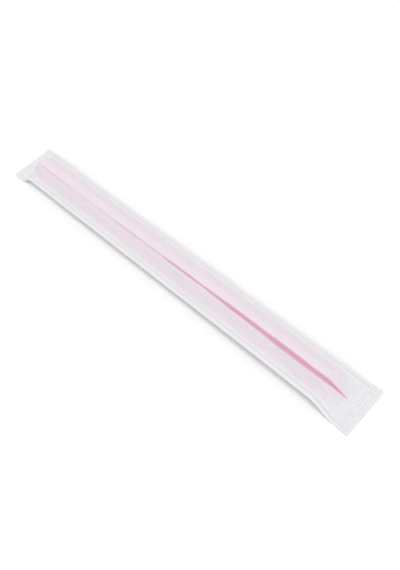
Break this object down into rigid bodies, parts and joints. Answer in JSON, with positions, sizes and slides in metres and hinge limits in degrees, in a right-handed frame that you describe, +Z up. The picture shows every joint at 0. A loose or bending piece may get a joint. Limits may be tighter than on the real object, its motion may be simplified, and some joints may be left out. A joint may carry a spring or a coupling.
{
  "type": "wrapped drinking straw",
  "caption": "Slant-cut plastic drinking straw sealed in a flat paper sleeve with pressed side seams and crimped end seals.",
  "frame": {"origin": "on the surface it lies on, below the middle of the sleeve's box", "axes": "+X along the straw towards its pointed end, +Y across the flat sleeve, +Z up from the surface it lies on"},
  "size_m": [0.232, 0.0256, 0.0104],
  "materials": {
    "pink_plastic": "glossy",
    "white_paper": "thin, smooth and slightly see-through"
  },
  "bodies": {
    "root": {"straw": "pink_plastic", "paper_sleeve": "white_paper"}
  },
  "joints": []
}
